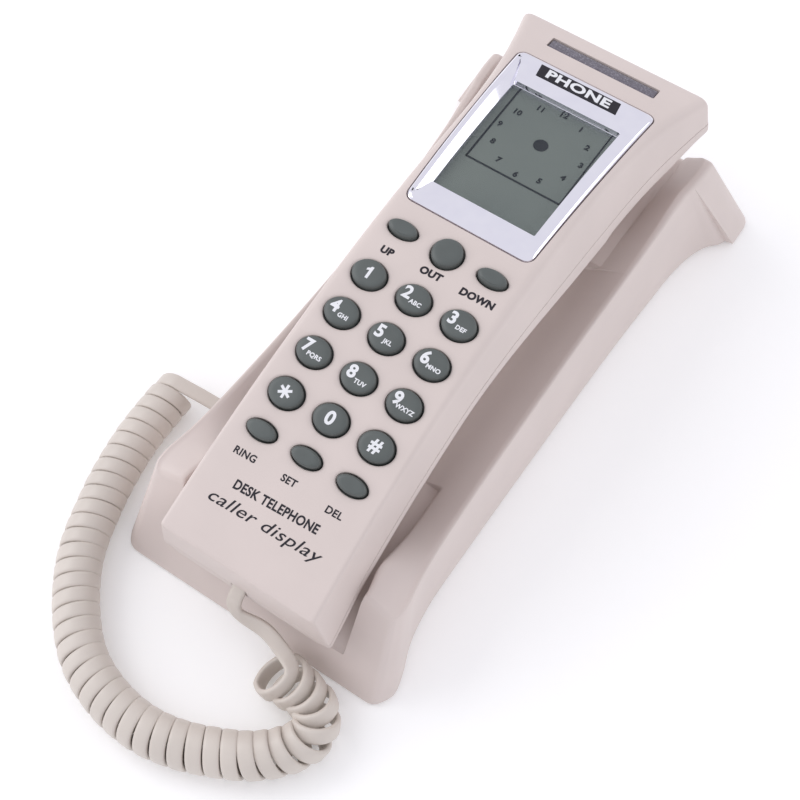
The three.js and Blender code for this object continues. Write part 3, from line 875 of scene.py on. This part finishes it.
PANEL_TOP = -3.6
DIAL = {"x": 0.2, "s": 30.2, "radius": 14.8}
DOT = {"x": 0.6, "s": 30.0, "radius": 2.4}


def clock_display():
    """Clock face on the panel: two frame lines and a side line, hour numerals, a centre dot."""
    flat_shapes = [
        bar(-16.9, 46, -16.3, 13.1, 0.65), bar(-16.3, 13.1, 17.4, 13.1, 0.65), bar(17.4, 13.1, 17, 46, 0.5),
    ]
    dot = [(DOT["x"] + DOT["radius"] * math.cos(a), DOT["s"] + DOT["radius"] * math.sin(a))
           for a in np.linspace(0, 2 * math.pi, 40, endpoint=False)]
    flat_shapes.append(dot)
    low, high = PANEL_TOP + 0.02, PANEL_TOP + 0.12
    pieces = [skin([[panel_point(x, s, h) for x, s in shape] for h in (low, high)]) for shape in flat_shapes]
    for hour in range(1, 13):
        angle = math.radians(90 - 30 * hour)
        x = DIAL["x"] + DIAL["radius"] * math.cos(angle)
        s = DIAL["s"] + DIAL["radius"] * math.sin(angle)

        def place(u, v, lift, x=x, s=s):
            return panel_point(x + u, s + v, low + lift)
        pieces.append(thick_text(str(hour), 2.9, 0.12, place, high - low))
    return merged("clock_segments", pieces)


dress(clock_display(), "handset", SEGMENT_INK, "display")
plate = [(-15, 52.3), (14.3, 52.5), (13.4, 57.9), (-16, 57.9)]
arch_ink("name_plate", [plate], -0.6, 0.12, DARK_INK, "dark_plastic")


def on_plate(u, v, lift):
    """A point over the name plate, with the letters stretched across it."""
    return on_arch(1.28 * u - 0.1 * v - 0.9, v + 55.1, -0.7 - lift)


plate_word = merged("plate_word", [thick_text("PHONE", 5.3, 0.2, on_plate, 0.06)])
dress(plate_word, "handset", WHITE_INK, "dark_plastic")


def lamp_lens():
    """Lens bar with rounded top edges, a little below the face."""
    rings = []
    s_values = [LAMP["near"] + 0.05 + (LAMP["far"] - LAMP["near"] - 0.1) * t
                for t in (0, 0.04, 0.12, 0.3, 0.5, 0.7, 0.88, 0.96, 1)]
    for s in s_values:
        edge = min(s - LAMP["near"], LAMP["far"] - s)
        top = 0.25 + 0.35 * max(0, 1 - edge / 0.6)
        half = LAMP["half"] - 0.05
        outline = rounded([(0, top, 0), (half, top, 0.6), (half, 2.4, 0), (0, 2.4, 0)], 4)
        rings.append([on_arch(x, s, h) for x, h in both_sides(outline)])
    return new_object("lamp_lens", *skin(rings))


dress(lamp_lens(), "handset", LENS, "lens", "ring_lamp_lens")


# ---------------------------------------------------------------- keys and legends
def key_top(a, b, u, v):
    """Height of a key's domed top at u, v."""
    reach = min(1.0, (u / a) ** 2 + (v / b) ** 2)
    return 1.85 - 0.24 * reach ** 2.6


def key_piece(node):
    x, s = key_frame(node)
    a, b = radii(node)
    profile = [(1, -3.1), (1, -2.5), (0, -2.5), (0, 0.85), (-0.06, 1.15), (-0.2, 1.4), (-0.45, 1.56)]
    rings = oval_rings(a, b, profile, 48)
    for share in (0.82, 0.66, 0.48, 0.3, 0.12):
        ring = []
        for t in np.linspace(0, 2 * math.pi, 48, endpoint=False):
            u, v = a * share * math.cos(t), b * share * math.sin(t)
            ring.append((u, v, key_top(a, b, u, v)))
        rings.append(ring)
    rings = [placed_on_arch(ring, x, s) for ring in rings]
    return new_object(node.replace("key_", "keycap_"), *skin(rings))


LETTERS = {"2": "ABC", "3": "DEF", "4": "GHI", "5": "JKL", "6": "MNO", "7": "PQRS", "8": "TUV", "9": "WXYZ"}
SIGNS = {"star": "*", "hash": "#"}
DIGIT_ONE = [
    (-0.2, -2.05), (0.72, -2.05), (0.72, 2.05), (0.02, 2.05),
    (-0.3, 1.5), (-1.1, 1.1), (-1.1, 0.35), (-0.2, 0.7),
]


def key_legend(node):
    """White legend on a key: a digit, and its small letters at the lower right."""
    x, s = key_frame(node)
    a, b = radii(node)
    label = node[4:]

    def place_at(x0, y0):
        def place(u, v, lift):
            u, v = u + x0, v + y0
            return placed_on_arch([(u, v, key_top(a, b, u, v) + lift - 0.03)], x, s)[0]
        return place

    if label in LETTERS:
        letters = LETTERS[label]
        letters_x = 1.5 if len(letters) < 4 else 1.2
        pieces = [thick_text(label, 5.6, 0.2, place_at(-2.3, 0.5), 0.08),
                  thick_text(letters, 1.95, 0.07, place_at(letters_x, -1.4), 0.08)]
    elif label == "star":
        pieces = []
        for turn in range(3):
            angle = math.radians(90 + 60 * turn)
            du, dv = 1.75 * math.cos(angle), 1.75 * math.sin(angle)
            outline = bar(-du, -dv, du, dv, 0.85)
            place = place_at(0, 0)
            lifted = 0.05 + 0.004 * turn
            pieces.append(skin([[place(u, v, lift) for u, v in outline] for lift in (0, lifted)]))
    elif label == "1":
        place = place_at(0, 0)
        pieces = [skin([[place(u, v, lift) for u, v in DIGIT_ONE] for lift in (0, 0.08)])]
    else:
        pieces = [thick_text(SIGNS.get(label, label), 5.8, 0.2, place_at(0, 0), 0.08)]
    return merged("legend_" + label, pieces)


for node in KEY_NODES:
    body = node + "_cap"
    dress(key_piece(node), body, KEYCAP, "keycap", node, angle=50)
    if node[4:].isdigit() or node[4:] in SIGNS:
        dress(key_legend(node), body, WHITE_INK, "keycap")

LABELS = [  # words, middle x and arc length, letter size, weight
    ("UP", -15.8, -31.8, 3.3, 0.17), ("OUT", -0.5, -31.3, 3.3, 0.17), ("DOWN", 15.5, -31.1, 3.3, 0.17),
    ("RING", -16.1, -106, 3.1, 0.08), ("SET", -0.7, -105.8, 3.1, 0.08), ("DEL", 15.6, -106.8, 3.1, 0.08),
]


PRINT_TILT = 0.04  # the lines of print rise a little to the right


def printed(text, size, weight, x0, s0, width=None, slant=0.0):
    """Thin letters on the handset's face, scaled to a width if one is given."""
    across = [point[0] for point in text_shape(text, size, weight)[0]]
    drawn = max(across) - min(across)
    scale = width / drawn if width else 1.0

    def place(u, v, lift):
        return on_arch(x0 + scale * u + slant * v, s0 + v + PRINT_TILT * u, 0.03 - lift)
    return thick_text(text, size, weight, place, 0.08)


def face_labels():
    pieces = [printed(text, size, weight, x, s) for text, x, s, size, weight in LABELS]
    pieces.append(printed("DESK TELEPHONE", 4.0, 0.12, 0.1, -114, width=28.5))
    pieces.append(printed("caller display", 5.2, 0.02, 0.2, -120.2, width=38, slant=0.35))
    return merged("key_labels", pieces)


dress(face_labels(), "handset", DARK_INK, "keycap")


# ---------------------------------------------------------------- base
BASE_STATIONS = [  # y, half width at the floor, half width and height of the crest, forward lean of the crest
    (-111.5, 46.9, 43.4, 34.4, 18), (-105, 50, 44.4, 34.6, 14.6), (-98, 48.4, 44.3, 34.6, 11),
    (-90, 45.4, 43.6, 34.5, 7), (-80, 43.5, 42.8, 34.1, 2.5), (-68, 42.8, 42, 33.6, 0),
    (-45, 42.9, 41.1, 32.6, 0), (-15, 43.2, 40.5, 31.5, 0), (15, 43.6, 40.2, 31.3, 0),
    (40, 44.2, 40.6, 32.4, 0), (60, 45.1, 41.2, 34.8, 0), (76, 46.2, 41.7, 37.6, -4),
    (86, 48.4, 42, 38.6, -8), (92, 51.4, 42.3, 39, -11), (95.4, 54.6, 42.5, 39.2, -13),
    (96.95, 54.9, 42.6, 39.2, -13.8), (97.3, 57.8, 42.6, 39.2, -13.9), (104, 57.8, 43, 39.2, -14.4),
    (111.5, 57.8, 43, 39, -15),
]
STATION_Y, FOOT, CREST, CREST_TOP, LEAN = zip(*BASE_STATIONS)
END_RADIUS = 1.8
FOOT_RADIUS = 6.0
LEAN_HEIGHT = 38  # the height at which the lean is as listed


def base_section(y):
    """Corners of half the base's outline at y, from its floor over the crest to its bottom."""
    foot = gently(STATION_Y, FOOT, y)
    crest = gently(STATION_Y, CREST, y)
    top = gently(STATION_Y, CREST_TOP, y)
    block = 1 - smooth(y, -92, -56)
    ear = smooth(y, 45.4, 46.8)
    floor = TROUGH_FLOOR + 1.6 * smooth(y, 20, 60)
    inner = crest - 1.6 - 1.2 * smooth(y, 40, 90)
    slope = (top - 0.4 - floor) / (inner - 24)
    low_x, low_z = 24.0, floor
    edge_x, soft = 30.2, 5.5
    mouth = 1 - smooth(y, -49.6, -48.4)
    if mouth > 0:
        well = 29.3 + 1.1 * smooth(y, -49, -80) + 1.6 * smooth(y, -90, -109.5)
        opening = 1 - smooth(y, -111.5, -96)
        low_z = floor + (MOUTH_FLOOR + (WELL_LIP - MOUTH_FLOOR) * opening - floor) * mouth
        low_x = low_x + (well + 0.5 * opening - low_x) * mouth
        edge_x = well + 0.4
        soft = 5.5 - 4.5 * mouth
    edge_z = floor + slope * (edge_x - 24)
    edge_z = edge_z + (36.6 - edge_z) * block
    if ear > 0:
        well_half = 29.8 + 2 * smooth(y, 46, 112)
        edge_x = edge_x + (well_half + 0.4 - edge_x) * ear
        edge_z = max(floor + slope * (edge_x - 24), EAR_FLOOR + 0.2)
        low_x += (well_half - low_x) * ear
        low_x = min(low_x, edge_x - 0.3)
        low_z += (EAR_FLOOR - low_z) * ear
        soft = 5.5 - 4 * ear
    return [
        (0, low_z, 0),
        (low_x, low_z, soft),
        (edge_x, edge_z, 1.2 + 0.8 * block),
        (inner, top - 0.3, 1 - 0.5 * smooth(y, 30, 70)),
        (crest, top, 2.4 - 1.2 * block),
        (foot, BASE_BOTTOM + 0.4, 0.8),
        (foot - 0.8, BASE_BOTTOM, 0.3),
        (0, BASE_BOTTOM, 0),
    ]


def quarter_turn(distance, radius):
    """How far a rounded end draws in at this distance from its tip."""
    return radius - math.sqrt(radius ** 2 - max(0.0, radius - distance) ** 2)


def base_stations():
    """Where the base's sections are taken: close together at the steps and the rounded ends."""
    ys = [*np.arange(-BASE_END, -50, 2.0), *np.arange(-50, -48, 0.2), *np.arange(-48, 43, 2.5)]
    ys += [*np.arange(44.4, 47.4, 0.25), *np.arange(48, 95, 2.0), 96, 96.6, 96.95, 97.1, 97.3, 98, 100]
    ys += [*np.arange(102, BASE_END - END_RADIUS, 2.0)]
    ys = [y for y in ys if -BASE_END + END_RADIUS < y < BASE_END - END_RADIUS]
    ends = [END_RADIUS * (1 - math.cos(a)) for a in np.linspace(0, math.pi / 2, 6)]
    return [-BASE_END + e for e in ends] + ys + [BASE_END - e for e in reversed(ends)]


def base_rings():
    rings = []
    for y in base_stations():
        distance = min(y + BASE_END, BASE_END - y)
        drawn = quarter_turn(distance, END_RADIUS)
        foot_drawn = quarter_turn(distance, END_RADIUS if y < 0 else FOOT_RADIUS)
        inward = [0, 0, 0, drawn, drawn, foot_drawn, foot_drawn, 0]
        shrunk = []
        for (x, z, radius), inset in zip(base_section(y), inward):
            lowered = max(BASE_BOTTOM, z - drawn) if z > 20 else z
            shrunk.append((x - inset, lowered, radius))
        outline = divided(rounded(shrunk, 4), with_arcs([5, 3, 4, 1, 9, 1, 6], 4))
        lean = gently(STATION_Y, LEAN, y)
        ring = []
        for x, z in both_sides(outline):
            share = (z - BASE_BOTTOM) / (LEAN_HEIGHT - BASE_BOTTOM)
            ring.append((x, y + lean * share, z))
        rings.append(ring)
    return rings


CAVITY = [  # y, half width at the bottom and at the top, height
    (-106, 44, 43, 6), (-98, 44, 42, 9), (-88, 41.6, 40, 18.4), (-60, 40.2, 39, 18.8), (44, 41, 38, 18.6),
    (60, 42, 38.4, 19.6), (84, 44, 39, 22), (98, 50, 40, 20), (106, 52, 44, 8),
]
SHAFT_HALF = 3.4  # half width of the square hole the hook plunger rises through


def cut_box(shell, name, low, high):
    boolean(shell, "DIFFERENCE", new_object(name, *box_points(low, high)))


def base_top():
    shell = new_object("base_top", *skin(base_rings()))
    rings = []
    for y, low, high, top in CAVITY:
        rings.append([(-low, y, -2), (low, y, -2), (high, y, top), (-high, y, top)])
    boolean(shell, "DIFFERENCE", new_object("hollow", *skin(rings)))
    low, high = node_box("hook_plunger")
    x, y = ((low + high) / 2)[:2]
    cut_box(shell, "shaft", (x - SHAFT_HALF, y - SHAFT_HALF, 10), (x + SHAFT_HALF, y + SHAFT_HALF, 45))
    low, high = node_box("base_plug")
    cut_box(shell, "cord_hole", (-60, low[1] - 0.8, low[2] - 0.8), (-38, high[1] + 0.8, high[2] + 0.8))
    low, high = node_box("line_socket")
    cut_box(shell, "line_hole", low - GAP, np.array([high[0], 130, high[2]]) + GAP)
    return shell


dress(base_top(), "base", SHELL, "shell", "base_top_shell", angle=32)


# ---------------------------------------------------------------- carried-over CAD parts
BY_SLOT = {
    "shell": SHELL, "keycap": KEYCAP, "bezel_chrome": CHROME, "window": WINDOW, "display": PANEL,
    "lens": LENS, "cord_vinyl": VINYL, "circuit_board": BOARD, "rubber": RUBBER, "steel": STEEL,
    "dark_plastic": DARK, "clear_plastic": CLEAR,
}
for part in frame["record"]["subparts"]:
    carried = frame["nodes"][part["node"]]
    carried.data.materials.clear()
    carried.data.materials.append(BY_SLOT[part["material_slot"]])


# ---------------------------------------------------------------- floor and light
def stage_floor():
    size = 1500
    points = [(-size, -size, 0), (size, -size, 0), (size, size, 0), (-size, size, 0)]
    material, _, shader = principled("floor", (0.97, 0.97, 0.97), 0.7)
    shader.inputs["Emission Color"].default_value = (1, 1, 1, 1)
    shader.inputs["Emission Strength"].default_value = 0.12
    floor = new_object("floor", points, [(0, 1, 2, 3)], material)


def area_light(name, location, target, size, power, color=(1, 1, 1)):
    data = bpy.data.lights.new(name, "AREA")
    data.shape = "RECTANGLE"
    data.size, data.size_y = size
    data.energy = power
    data.color = color
    light = bpy.data.objects.new(name, data)
    light.location = location
    direction = Vector(target) - Vector(location)
    light.rotation_euler = direction.to_track_quat("-Z", "Y").to_euler()
    bpy.context.scene.collection.objects.link(light)


stage_floor()
world = bpy.data.worlds.new("studio")
world.use_nodes = True
world.node_tree.nodes["Background"].inputs["Color"].default_value = (0.95, 0.945, 1.0, 1)
world.node_tree.nodes["Background"].inputs["Strength"].default_value = 0.82
bpy.context.scene.world = world
area_light("key_light", (-1.3, -0.15, 1.3), (0, -0.02, 0.03), (1.0, 1.0), 7.6)
area_light("fill_light", (-1.3, -0.9, 0.6), (0, -0.02, 0.03), (1.0, 0.9), 3.6)
area_light("rim_light", (0.99, 0.77, 0.81), (0, 0.04, 0.07), (1.15, 0.42), 1.9)
bpy.context.scene.view_settings.view_transform = "Standard"
